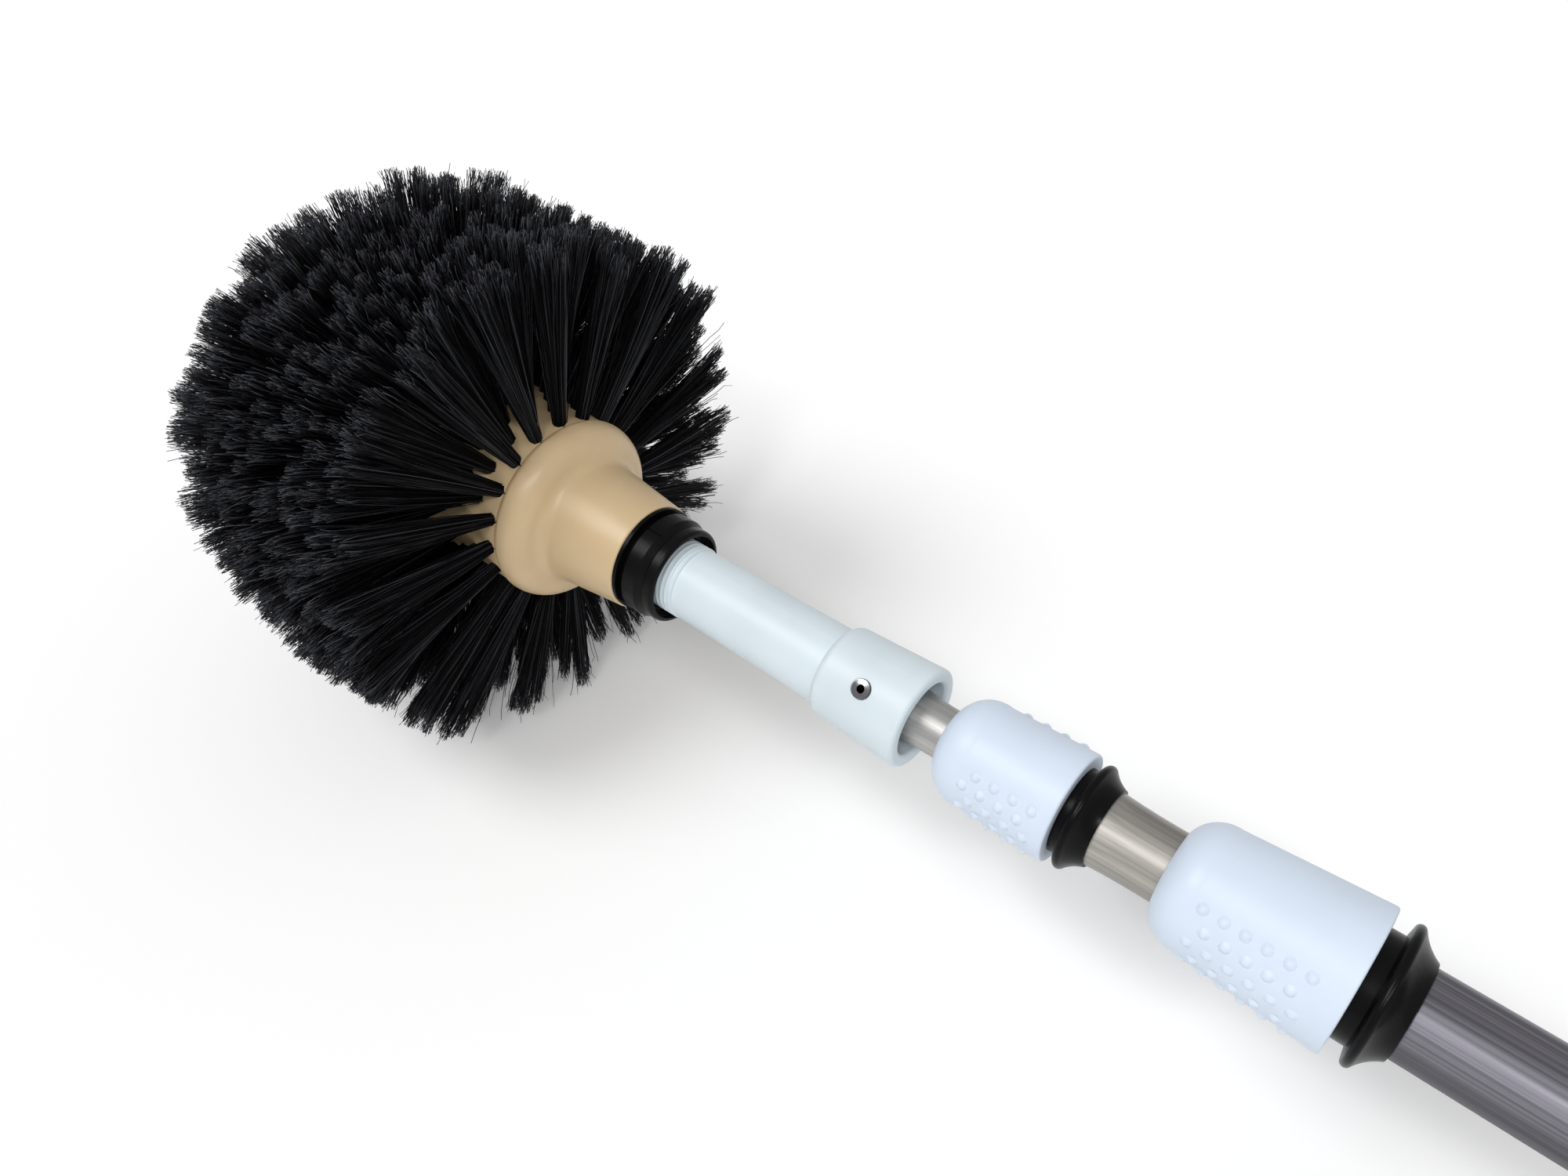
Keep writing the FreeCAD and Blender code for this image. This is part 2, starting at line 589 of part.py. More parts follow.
def tuft_plane(row, out):
    """A placement square to a row's first tuft, some way out from the core's surface."""
    _, station, radius, tilt, _, turn = row
    spin = FreeCAD.Rotation(FreeCAD.Vector(1, 0, 0), turn)
    lean = FreeCAD.Rotation(FreeCAD.Vector(0, 1, 0), tilt)
    point = FreeCAD.Vector(station, 0, radius) + lean.multVec(FreeCAD.Vector(0, 0, out))
    return FreeCAD.Placement(spin.multVec(point), spin.multiply(lean))


def hexagon(body, name, plane):
    """The six-sided foot of a tuft, as much smaller than its hole as the tuft opens out to the mouth."""
    opening = "%s / cos(30) * tan(%s)" % (bound("hole_depth"), bound("tuft_flare"))
    slope = math.tan(math.radians(size("tuft_flare"))) / math.cos(math.radians(30))
    radius = size("hole_r") - size("tuft_play") - size("hole_depth") * slope
    sketch = new_sketch(body, name, "XY_Plane", plane)
    corners = [FreeCAD.Vector(math.cos(a * math.pi / 3), math.sin(a * math.pi / 3), 0) * radius
               for a in range(6)]
    for i in range(6):
        sketch.addGeometry(Part.LineSegment(corners[i], corners[(i + 1) % 6]), False)
    rim = sketch.addGeometry(Part.Circle(FreeCAD.Vector(), FreeCAD.Vector(0, 0, 1), radius), True)
    for i in range(6):
        sketch.addConstraint(Sketcher.Constraint("Coincident", i, 2, (i + 1) % 6, 1))
        sketch.addConstraint(Sketcher.Constraint("PointOnObject", i, 1, rim))
        if i:
            sketch.addConstraint(Sketcher.Constraint("Equal", 0, i))
    sketch.addConstraint(Sketcher.Constraint("Coincident", rim, 3, -1, 1))
    sketch.addConstraint(Sketcher.Constraint("PointOnObject", 0, 1, -1))
    row = sketch.addConstraint(Sketcher.Constraint("Radius", rim, radius))
    sketch.setExpression("Constraints[%d]" % row, "%s - %s" % (bound("hole_r - tuft_play"), opening))
    return sketch


rows = tuft_rows()
blank = turned("core_blank", CORE + " - stem_len", [
    ("0", "0"),
    ("stem_len + core_len + core_r", "0"),
    ("stem_len + core_len", "core_r", "core_r", -1),
    ("stem_len", "core_r"),
    ("stem_len", "stem_r"),
    ("0", "stem_r")])
bodies.remove(blank)


def tuft_drill():
    """One six-sided drill for every tuft, reaching past the core's surface."""
    corners = [FreeCAD.Vector(math.cos(a * math.pi / 3), math.sin(a * math.pi / 3), 0) * size("hole_r")
               for a in range(7)]
    reach = FreeCAD.Vector(0, 0, total("hole_depth + over_cut"))
    drill = Part.Face(Part.makePolygon(corners)).extrude(reach)
    drills = []
    for row in rows:
        count = row[4]
        for i in range(count):
            spin = FreeCAD.Rotation(FreeCAD.Vector(1, 0, 0), 360.0 * i / count)
            copy = drill.copy()
            turned_by = FreeCAD.Placement(FreeCAD.Vector(), spin)
            copy.Placement = turned_by * tuft_plane(row, -size("hole_depth"))
            drills.append(copy)
    return Part.makeCompound(drills)


drills = doc.addObject("Part::Feature", "tuft_drills")
drills.Shape = tuft_drill()
drills.setExpression("Placement.Base.x", bound(CORE))
core = doc.addObject("Part::Cut", "brush_core")
core.Label = "brush_core"
core.Base = blank
core.Tool = drills
core.Refine = False
bodies.append(core)

# Tufts of each row: bundles that seat on their holes' floors and open towards their tips
for row in rows:
    label, count = row[0], row[4]
    body = new_body(label, CORE)
    body.AllowCompound = True
    root = hexagon(body, label + "_root", tuft_plane(row, -size("hole_depth")))
    bundle = body.newObject("PartDesign::Pad", label + "_bundle")
    bundle.Profile = root
    bundle.Type = "Length"
    bundle.setExpression("Length", bound("hole_depth + tuft_free"))
    bundle.setExpression("TaperAngle", bound("tuft_flare"))
    bundle.Refine = False
    if count > 1:
        pattern(body, label + "_ring", bundle, count)

doc.recompute()

# Nothing is written unless every object is sound
for thing in doc.Objects:
    if "Invalid" in thing.State or "Error" in thing.State:
        raise RuntimeError("%s did not recompute: %s" % (thing.Label, thing.State))
for body in bodies:
    if body.Shape.isNull() or not body.Shape.isValid() or not body.Shape.Solids:
        raise RuntimeError("%s has no sound shape" % body.Label)

os.makedirs("parts", exist_ok=True)
for body in bodies:
    body.Shape.exportStep("parts/%s.step" % body.Label)
    print("%-20s %3d solids %10.1f mm3" % (body.Label, len(body.Shape.Solids), body.Shape.Volume))
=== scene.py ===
"""Cobweb brush on a telescopic pole: bristles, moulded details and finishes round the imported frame."""

import math
from typing import NamedTuple

import bmesh
import bpy
import numpy as np
from bpy.props import FloatProperty, FloatVectorProperty, IntProperty, PointerProperty
from mathutils import Matrix, Vector


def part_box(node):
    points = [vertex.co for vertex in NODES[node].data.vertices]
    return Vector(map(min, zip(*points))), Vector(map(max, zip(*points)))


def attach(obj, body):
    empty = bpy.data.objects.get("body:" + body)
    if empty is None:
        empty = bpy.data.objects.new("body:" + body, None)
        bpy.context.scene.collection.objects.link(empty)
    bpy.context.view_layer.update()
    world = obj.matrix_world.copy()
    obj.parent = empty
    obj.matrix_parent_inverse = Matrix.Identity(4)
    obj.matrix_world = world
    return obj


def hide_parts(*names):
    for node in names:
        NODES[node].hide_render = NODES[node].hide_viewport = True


bl_info = {
    "name": "Cobweb Brush",
    "version": (1, 0, 0),
    "blender": (4, 5, 0),
    "location": "View3D > Sidebar > Cobweb Brush",
    "description": "Dresses the packed cobweb brush with bristles, moulded details and finishes",
    "category": "Object",
}

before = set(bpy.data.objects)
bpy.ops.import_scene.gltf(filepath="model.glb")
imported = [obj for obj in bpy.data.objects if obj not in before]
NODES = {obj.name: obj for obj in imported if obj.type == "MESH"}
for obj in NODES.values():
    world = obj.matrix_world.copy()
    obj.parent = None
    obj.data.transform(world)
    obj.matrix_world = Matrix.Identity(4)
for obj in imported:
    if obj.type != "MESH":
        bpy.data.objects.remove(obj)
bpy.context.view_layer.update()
MM = 0.001
HEAD_BODY = "brush_head"
# Point layer of how far a filament is lightened: split-end grey plus painted sheen along whole filaments
GREY_AND_SHEEN_LAYER = "tip_share"
TUFT_ROWS = sorted(name for name in NODES if name.startswith("tufts_row_"))
# Distance from the pole's axis, clear of every piece, at which a ray towards the axis starts
RAY_START = 200 * MM


# Settings that a user would change
class BristleSettings(bpy.types.PropertyGroup):
    """Filaments of the brush head."""

    filaments: IntProperty(name="Filaments", description="Filaments in each tuft", default=200, min=8)
    radius: FloatProperty(name="Radius", description="Filament radius at its root", default=0.24 * MM,
                          unit="LENGTH", precision=5)
    taper: FloatProperty(name="Taper", description="Share of the radius lost at the tip", default=0.45)
    spread: FloatProperty(name="Spread", default=1.3,
                          description="Tip's width along the pole, in widths of the frame's tuft")
    fan: FloatProperty(name="Fan", default=1.6,
                       description="Tip's width round the pole, in widths of the frame's tuft")
    bush: FloatProperty(name="Bush", default=3.0,
                        description="Tip's width of a tuft on the dome, in widths of the frame's tuft")
    dense: FloatProperty(name="Dense", default=0.7,
                         description="Extra share of filaments in a tuft on the dome")
    flare: FloatProperty(name="Flare", description="Power of the widening along a tuft", default=1.45)
    locks: IntProperty(name="Locks", default=3, min=2,
                       description="Locks that a tuft gathers into, twice as many on the dome")
    cling: FloatProperty(name="Cling", default=0.45,
                         description="Pull of a filament's tip towards the middle of its lock")
    uneven: FloatProperty(name="Uneven", description="Most length lost by a whole tuft", default=4 * MM,
                          unit="LENGTH")
    ragged: FloatProperty(name="Ragged", description="Most length lost by a short lock", default=8 * MM,
                          unit="LENGTH")
    split: FloatProperty(name="Split", description="Most length lost by one filament", default=4 * MM,
                         unit="LENGTH")
    sway: FloatProperty(name="Sway", description="Sideways lean of a whole tuft at its tip",
                        default=2.5 * MM, unit="LENGTH")
    fray: FloatProperty(name="Fray", description="Sideways scatter of the frayed ends", default=0.6 * MM,
                        unit="LENGTH", precision=5)
    bow: FloatProperty(name="Bow", description="Sideways bend of a filament", default=1.3 * MM,
                       unit="LENGTH")
    stray_share: FloatProperty(name="Strays", description="Share of filaments that lean out", default=0.07)
    stray_reach: FloatProperty(name="Stray Reach", description="Extra sideways reach of a stray tip",
                               default=8 * MM, unit="LENGTH")
    seed: IntProperty(name="Seed", description="Start of the random draws", default=11)


class MouldingSettings(bpy.types.PropertyGroup):
    """Small moulded details of the pole's fittings."""

    dot_radius: FloatProperty(name="Dot Radius", description="Radius of a grip dot", default=2.0 * MM,
                              unit="LENGTH", precision=5)
    dot_height: FloatProperty(name="Dot Height", description="Height of a grip dot", default=1.0 * MM,
                              unit="LENGTH", precision=5)
    dot_rows: IntProperty(name="Dot Rows", description="Rows of dots in each grip patch", default=5)
    thread_pitch: FloatProperty(name="Thread Pitch", description="Distance between thread ridges",
                                default=2.1 * MM, unit="LENGTH", precision=5)
    thread_height: FloatProperty(name="Thread Height", description="Height of the thread ridges",
                                 default=0.75 * MM, unit="LENGTH", precision=5)
    screw_length: FloatProperty(name="Screw Length", description="Length of the adapter's screwed end",
                                default=39 * MM, unit="LENGTH")
    screw_radius: FloatProperty(name="Screw Radius", description="Radius under the thread",
                                default=12.9 * MM, unit="LENGTH", precision=5)


class FinishSettings(bpy.types.PropertyGroup):
    """Colours of the finishes."""

    hub: FloatVectorProperty(name="Hub", description="Cream plastic of the hub", subtype="COLOR",
                             default=(0.665, 0.495, 0.29))
    adapter: FloatVectorProperty(name="Adapter", description="White plastic of the adapter",
                                 subtype="COLOR", default=(0.69, 0.78, 0.825))
    collar: FloatVectorProperty(name="Collar", description="White plastic of the collars", subtype="COLOR",
                                default=(0.70, 0.79, 0.92))
    black: FloatVectorProperty(name="Black", description="Black plastic of sleeves and insert",
                               subtype="COLOR", default=(0.0028, 0.0028, 0.0031))
    outer_tube: FloatVectorProperty(name="Outer Tube", description="Drawn aluminium, cool grey",
                                    subtype="COLOR", default=(0.25, 0.242, 0.275))
    # The warm in this grey is a painted warm reflection, laid into the aluminium's own grey
    mid_tube: FloatVectorProperty(name="Middle Tube", description="Drawn aluminium, warm grey",
                                  subtype="COLOR", default=(0.475, 0.452, 0.417))
    inner_tube: FloatVectorProperty(name="Inner Tube", description="Drawn aluminium, dull grey",
                                    subtype="COLOR", default=(0.50, 0.49, 0.475))
    rivet: FloatVectorProperty(name="Rivet", description="Bright rivet", subtype="COLOR",
                               default=(0.25, 0.25, 0.26))
    nylon: FloatVectorProperty(name="Nylon", description="Hidden bushes and collets", subtype="COLOR",
                               default=(0.66, 0.66, 0.62))
    bristle: FloatVectorProperty(name="Bristle", description="Filaments near the hub", subtype="COLOR",
                                 default=(0.0018, 0.0019, 0.0022))
    # The tip colour is also the grey that painted sheen lifts whole filaments towards
    tip: FloatVectorProperty(name="Bristle Tip", description="Split ends of the filaments", subtype="COLOR",
                             default=(0.095, 0.098, 0.115))


class StageSettings(bpy.types.PropertyGroup):
    """Floor, light and camera."""

    floor: FloatVectorProperty(name="Floor", description="Floor colour", subtype="COLOR",
                               default=(0.92, 0.92, 0.92))
    floor_size: FloatProperty(name="Floor Size", description="Side of the floor", default=14.0,
                              unit="LENGTH")
    key: FloatProperty(name="Key", description="Strength of the broad side lamp", default=1.2)
    front: FloatProperty(name="Front", description="Strength of each lamp beside the camera", default=0.45)
    fill: FloatProperty(name="Fill", description="Strength of the sky", default=0.44)
    mirrored: FloatProperty(name="Mirrored", description="Strength of the sky in reflections", default=0.5)
    glow: FloatProperty(name="Glow", description="What the floor adds for the camera alone", default=0.13)
    lens: FloatProperty(name="Lens", description="Focal length in millimetres", default=29.7)
    sensor: FloatProperty(name="Sensor", description="Sensor's width in millimetres", default=36.0)


# Meshes
def new_piece(name, verts, faces, smooth=True):
    """A mesh object from lists of points and faces."""
    mesh = bpy.data.meshes.new(name)
    mesh.from_pydata(verts, [], faces)
    mesh.validate()
    if smooth:
        mesh.polygons.foreach_set("use_smooth", [True] * len(mesh.polygons))
    piece = bpy.data.objects.new(name, mesh)
    bpy.context.scene.collection.objects.link(piece)
    return piece


def give(piece, material):
    """Makes a material the only one of a piece."""
    piece.data.materials.clear()
    piece.data.materials.append(material)


def radial(angle):
    """The direction out from the pole's axis at an angle in degrees, measured up from +Y."""
    return Vector((0, math.cos(math.radians(angle)), math.sin(math.radians(angle))))


def on_surface(node, along, angle):
    """The point and normal of a node's outside at a station on the axis and an angle round it."""
    out = radial(angle)
    start = Vector((along, 0, 0)) + out * RAY_START
    found, point, normal, _ = NODES[node].ray_cast(start, -out)
    if not found:
        raise RuntimeError("nothing of %s at %.4f m" % (node, along))
    return point, normal


# Shader parts
def link_chain(tree, *pairs):
    """Links pairs of sockets."""
    for out, into in pairs:
        tree.links.new(out, into)


def new_group(name, inputs, outputs):
    """A shader node group with float inputs (name, default) and float outputs."""
    group = bpy.data.node_groups.new(name, "ShaderNodeTree")
    for label, default in inputs:
        socket = group.interface.new_socket(name=label, in_out="INPUT", socket_type="NodeSocketFloat")
        socket.default_value = default
    for label in outputs:
        group.interface.new_socket(name=label, in_out="OUTPUT", socket_type="NodeSocketFloat")
    return group, group.nodes.new("NodeGroupInput"), group.nodes.new("NodeGroupOutput")


def noise_group(name, layers, stretch=None):
    """A node group, built once, with a noise for each layer: its name, scale and detail."""
    if name in bpy.data.node_groups:
        return bpy.data.node_groups[name]
    scales = [(layer + " Scale", scale) for layer, scale, _ in layers]
    group, into, out = new_group(name, scales, [layer for layer, _, _ in layers])
    place = group.nodes.new("ShaderNodeTexCoord").outputs["Object"]
    if stretch:
        mapping = group.nodes.new("ShaderNodeMapping")
        mapping.inputs["Scale"].default_value = stretch
        link_chain(group, (place, mapping.inputs["Vector"]))
        place = mapping.outputs["Vector"]
    for layer, _, detail in layers:
        noise = group.nodes.new("ShaderNodeTexNoise")
        noise.inputs["Detail"].default_value = detail
        link_chain(group, (place, noise.inputs["Vector"]),
                   (into.outputs[layer + " Scale"], noise.inputs["Scale"]),
                   (noise.outputs["Fac"], out.inputs[layer]))
    return group


def moulded_skin_group():
    """Faint flow mottling and fine orange-peel of moulded plastic."""
    return noise_group("Moulded Skin", [("Mottle", 40.0, 3.0), ("Peel", 900.0, 2.0)])


def drawn_lines_group():
    """Streaks that drawing leaves along a tube, broad bands and fine lines."""
    along_pole = (0.004, 1.0, 1.0)
    return noise_group("Drawn Lines", [("Band", 130.0, 2.0), ("Line", 1000.0, 3.0)], along_pole)


def new_material(name):
    """A material and its Principled shader."""
    material = bpy.data.materials.new(name)
    material.use_nodes = True
    return material, material.node_tree, material.node_tree.nodes["Principled BSDF"]


def shade(colour, factor):
    """A colour made lighter or darker, with its alpha."""
    return tuple(min(c * factor, 1.0) for c in colour) + (1.0,)


def ramp(tree, fac, low, high, colours):
    """A two-colour ramp between two values."""
    node = tree.nodes.new("ShaderNodeValToRGB")
    for stop, place, colour in zip(node.color_ramp.elements, (low, high), colours):
        stop.position = place
        stop.color = colour
    tree.links.new(fac, node.inputs["Fac"])
    return node.outputs["Color"]


def vary_surface(tree, bsdf, mask, roughness, swing, height, depth):
    """Roughness that swings with a mask, and a bump of a depth from a height."""
    gloss = tree.nodes.new("ShaderNodeMapRange")
    gloss.inputs["To Min"].default_value = roughness - swing
    gloss.inputs["To Max"].default_value = roughness + swing
    bump = tree.nodes.new("ShaderNodeBump")
    bump.inputs["Distance"].default_value = depth
    link_chain(tree, (mask, gloss.inputs["Value"]), (gloss.outputs["Result"], bsdf.inputs["Roughness"]),
               (height, bump.inputs["Height"]), (bump.outputs["Normal"], bsdf.inputs["Normal"]))


def moulded_plastic(name, colour, roughness, mottle=0.04, subsurface=0.0, sheen=0.5):
    """Moulded plastic: faint mottling in colour and gloss, with a fine skin."""
    material, tree, bsdf = new_material(name)
    group = tree.nodes.new("ShaderNodeGroup")
    group.node_tree = moulded_skin_group()
    flow, peel = group.outputs["Mottle"], group.outputs["Peel"]
    tones = (shade(colour, 1 - mottle), shade(colour, 1 + mottle))
    tree.links.new(ramp(tree, flow, low=0.3, high=0.7, colours=tones), bsdf.inputs["Base Color"])
    vary_surface(tree, bsdf, mask=flow, roughness=roughness, swing=0.05, height=peel, depth=0.02 * MM)
    bsdf.inputs["Specular IOR Level"].default_value = sheen
    if subsurface:
        bsdf.inputs["Subsurface Weight"].default_value = subsurface
        bsdf.inputs["Subsurface Radius"].default_value = (4 * MM, 3 * MM, 2 * MM)
    return material


def drawn_metal(name, colour, roughness, contrast):
    """Bare metal with streaks along the pole."""
    material, tree, bsdf = new_material(name)
    bsdf.inputs["Metallic"].default_value = 1.0
    group = tree.nodes.new("ShaderNodeGroup")
    group.node_tree = drawn_lines_group()
    bands, lines = group.outputs["Band"], group.outputs["Line"]
    white = (1, 1, 1)
    tones = (shade(colour, 1 - contrast), shade(colour, 1 + contrast))
    greys = (shade(white, 1 - contrast), shade(white, 1))
    band = ramp(tree, bands, low=0.36, high=0.64, colours=tones)
    line = ramp(tree, lines, low=0.36, high=0.64, colours=greys)
    tone = tree.nodes.new("ShaderNodeVectorMath")
    tone.operation = "MULTIPLY"
    link_chain(tree, (band, tone.inputs[0]), (line, tone.inputs[1]),
               (tone.outputs[0], bsdf.inputs["Base Color"]))
    vary_surface(tree, bsdf, mask=lines, roughness=roughness, swing=0.08, height=lines, depth=0.03 * MM)
    return material


def bristle_material(colour, tip):
    """Black filament that greys towards its split end, and on some whole filaments is lightened by painted
    sheen.
    """
    material, tree, bsdf = new_material("bristle_fibre")
    share = tree.nodes.new("ShaderNodeAttribute")
    share.attribute_name = GREY_AND_SHEEN_LAYER
    tones = (shade(colour, 1), shade(tip, 1))
    tone = ramp(tree, share.outputs["Fac"], low=0.0, high=1.0, colours=tones)
    tree.links.new(tone, bsdf.inputs["Base Color"])
    bsdf.inputs["Roughness"].default_value = 0.45
    bsdf.inputs["Specular IOR Level"].default_value = 0.09
    return material


# Operators, one for each piece or group of like pieces
class COBWEB_OT_tubes(bpy.types.Operator):
    """Finish the three drawn tubes"""

    bl_idname = "cobweb.tubes"
    bl_label = "Pole Tubes"

    def execute(self, context):
        finish = context.scene.cobweb_finish
        for node, contrast in (("outer_tube", 0.45), ("mid_tube", 0.22), ("inner_tube", 0.2)):
            colour = getattr(finish, node)
            give(NODES[node], drawn_metal(node + "_aluminium", colour, roughness=0.46, contrast=contrast))
        return {"FINISHED"}


class GripPatch(NamedTuple):
    """Grip dots in rows along one side of a collar, with a like patch on its far side."""

    collar: str
    body: str
    # Station of the foremost dot, step along a row, shift of odd rows in steps
    first: float
    pitch: float
    stagger: float
    # Dots in a row, and how many fewer an odd row has
    count: int
    short: int
    # Angle of the first row, step from row to row, and turn to the far patch, in degrees
    angle: float
    step: float
    far_side: float


GRIP_PATCHES = {
    "lower_grip_dots": GripPatch(
        collar="lower_twist_collar", body="lower_collar", first=1037.1 * MM, pitch=6.35 * MM, stagger=0.5,
        count=6, short=1, angle=40.0, step=17.1, far_side=190),
    "upper_grip_dots": GripPatch(
        collar="upper_twist_collar", body="upper_collar", first=1111.2 * MM, pitch=6.6 * MM, stagger=-0.5,
        count=4, short=0, angle=32.7, step=16.1, far_side=180),
}


def dot_mesh(spots, moulding):
    """Points and faces of dots that rise softly from points with their normals."""
    rings, around = 5, 14
    sunk, softness = 0.08, 1.2
    verts, faces = [], []
    for point, normal in spots:
        tangent = normal.cross(Vector((1, 0, 0))).normalized()
        other = normal.cross(tangent)
        base = len(verts)
        for ring in range(rings):
            share = 1 - ring / rings
            lift = moulding.dot_height * ((1 + sunk) * (1 - share * share) ** softness - sunk)
            for k in range(around):
                a = 2 * math.pi * k / around
                aside = tangent * math.cos(a) + other * math.sin(a)
                verts.append(point + aside * share * moulding.dot_radius + normal * lift)
        verts.append(point + normal * moulding.dot_height)
        for ring in range(rings - 1):
            for k in range(around):
                a, b = base + ring * around + k, base + ring * around + (k + 1) % around
                faces.append((b, a, a + around, b + around))
        top = base + rings * around
        last = top - around
        faces.extend((last + (k + 1) % around, last + k, top) for k in range(around))
    return verts, faces


def grip_dots(name, patch, material, moulding):
    """Raised dots in staggered rows on two sides of a collar."""
    spots = []
    for side in (0, patch.far_side):
        for row in range(moulding.dot_rows):
            odd = row % 2
            for i in range(patch.count - patch.short * odd):
                along = patch.first - (i + patch.stagger * odd) * patch.pitch
                spots.append(on_surface(patch.collar, along, side + patch.angle - row * patch.step))
    piece = new_piece(name, *dot_mesh(spots, moulding))
    give(piece, material)
    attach(piece, patch.body)


class COBWEB_OT_locks(bpy.types.Operator):
    """Finish the two twist locks and raise the grip dots on their collars"""

    bl_idname = "cobweb.locks"
    bl_label = "Twist Locks"

    def execute(self, context):
        finish, moulding = context.scene.cobweb_finish, context.scene.cobweb_moulding
        white = moulded_plastic("collar_white", finish.collar, roughness=0.42, mottle=0.02, subsurface=0.06)
        black = moulded_plastic("sleeve_black", finish.black, roughness=0.27, mottle=0.2, sheen=0.13)
        for lock in ("lower", "upper"):
            give(NODES[lock + "_twist_collar"], white)
            give(NODES[lock + "_base_sleeve"], black)
        for name, patch in GRIP_PATCHES.items():
            grip_dots(name, patch, white, moulding)
        return {"FINISHED"}


class COBWEB_OT_adapter(bpy.types.Operator):
    """Finish the adapter and cut its thread and moulding mark"""

    bl_idname = "cobweb.adapter"
    bl_label = "Adapter"

    def execute(self, context):
        finish, moulding = context.scene.cobweb_finish, context.scene.cobweb_moulding
        white = moulded_plastic("adapter_white", finish.adapter, roughness=0.40, mottle=0.03,
                                subsurface=0.06)
        give(NODES["adapter"], white)
        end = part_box("adapter")[1].x
        start = end - moulding.screw_length
        thread = self.thread(start, end, moulding)
        mark = self.moulding_mark(along=start - 5.7 * MM, angle=35.7, radius=2.7 * MM)
        for piece in (thread, mark):
            give(piece, white)
            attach(piece, "front_section")
        return {"FINISHED"}

    def thread(self, start, end, moulding):
        """A right-handed ridge that winds round the screwed end."""
        pitch, steps = moulding.thread_pitch, 60
        # Room left at either end, in pitches, and turns in which the ridge fades in and out
        room, fade = 0.45, 0.5
        turns = (end - start) / pitch - 2 * room
        # Ridge across: place in pitches, height in ridge heights
        outline = ((-0.38, -0.2), (-0.22, 0.75), (-0.09, 1.0), (0.09, 1.0), (0.22, 0.75), (0.38, -0.2))
        verts, faces = [], []
        total = int(turns * steps)
        for i in range(total + 1):
            turn = i / steps
            grow = min(1.0, turn / fade, (turns - turn) / fade)
            out = radial(90 + 360 * turn)
            for along, height in outline:
                rise = height if height < 0 else height * grow
                radius = moulding.screw_radius + moulding.thread_height * rise
                verts.append(out * radius + Vector((start + pitch * (room + turn + along), 0, 0)))
        n = len(outline)
        for i in range(total):
            for k in range(n - 1):
                a = i * n + k
                faces.append((a, a + n, a + n + 1, a + 1))
        return new_piece("adapter_thread", verts, faces)

    def moulding_mark(self, along, angle, radius):
        """A fine raised circle that an ejector pin left on the barrel."""
        line, around = 0.14 * MM, 40
        # Line across: place and lift, in half widths of the line
        section = ((-1, -0.4), (0, 0.6), (1, -0.4))
        centre, _ = on_surface("adapter", along, angle)
        across = radial(angle + 90)
        verts, faces = [], []
        for k in range(around):
            a = 2 * math.pi * k / around
            for part, lift in section:
                reach = radius + part * line
                spot = centre + Vector((math.cos(a) * reach, 0, 0)) + across * math.sin(a) * reach
                turn = math.degrees(math.atan2(spot.z, spot.y))
                point, normal = on_surface("adapter", spot.x, turn)
                verts.append(point + normal * line * lift)
        n = len(section)
        for k in range(around):
            a, b = n * k, n * ((k + 1) % around)
            faces += [(a + i, a + i + 1, b + i + 1, b + i) for i in range(n - 1)]
        return new_piece("adapter_mark", verts, faces)


class COBWEB_OT_rivet(bpy.types.Operator):
    """Finish the bright eyelet rivet"""

    bl_idname = "cobweb.rivet"
    bl_label = "Rivet"

    def execute(self, context):
        bright = context.scene.cobweb_finish.rivet
        give(NODES["rivet"], drawn_metal("rivet_bright", bright, roughness=0.2, contrast=0.05))
        return {"FINISHED"}


class COBWEB_OT_insert(bpy.types.Operator):
    """Finish the black screw insert, the tail plug and the hidden guides"""

    bl_idname = "cobweb.insert"
    bl_label = "Insert, Plug and Guides"

    def execute(self, context):
        finish = context.scene.cobweb_finish
        black = moulded_plastic("insert_black", finish.black, roughness=0.27, mottle=0.2, sheen=0.13)
        nylon = moulded_plastic("guide_nylon", finish.nylon, roughness=0.5)
        for node in ("insert_ring", "threaded_sleeve", "tail_plug"):
            give(NODES[node], black)
        for node in ("lower_collet", "upper_collet", "mid_tube_bush", "inner_tube_bush"):
            give(NODES[node], nylon)
        return {"FINISHED"}


class COBWEB_OT_hub(bpy.types.Operator):
    """Finish the cream hub: the bell behind the bristles and the drilled core"""

    bl_idname = "cobweb.hub"
    bl_label = "Hub"

    def execute(self, context):
        hub = context.scene.cobweb_finish.hub
        cream = moulded_plastic("hub_cream", hub, roughness=0.34, mottle=0.05, subsurface=0.1)
        for node in ("ferrule", "brush_core"):
            give(NODES[node], cream)
        return {"FINISHED"}


def tuft_lines(node):
    """Root and tip of every tuft of a row: centres and radii of its two ends."""
    same_point, end_depth = 1e-6, 0.6 * MM
    mesh = bmesh.new()
    mesh.from_mesh(NODES[node].data)
    bmesh.ops.remove_doubles(mesh, verts=mesh.verts, dist=same_point)
    left, lines = set(mesh.verts), []
    for seed in list(mesh.verts):
        if seed not in left:
            continue
        left.discard(seed)
        island, queue = [], [seed]
        while queue:
            vert = queue.pop()
            island.append(tuple(vert.co))
            for edge in vert.link_edges:
                other = edge.other_vert(vert)
                if other in left:
                    left.discard(other)
                    queue.append(other)
        points = np.array(island)
        middle = points.mean(0)
        axis = np.linalg.svd(points - middle)[2][0]
        along = (points - middle) @ axis
        ends = []
        for end in (points[along < along.min() + end_depth], points[along > along.max() - end_depth]):
            centre = (end.min(0) + end.max(0)) / 2
            ends.append((np.linalg.norm(end - centre, axis=1).max(), centre))
        ends.sort(key=lambda e: e[0])
        lines.append((ends[0][1], ends[1][1], ends[0][0], ends[1][0]))
    mesh.free()
    return sorted(lines, key=lambda l: math.atan2(l[1][2], l[1][1]))


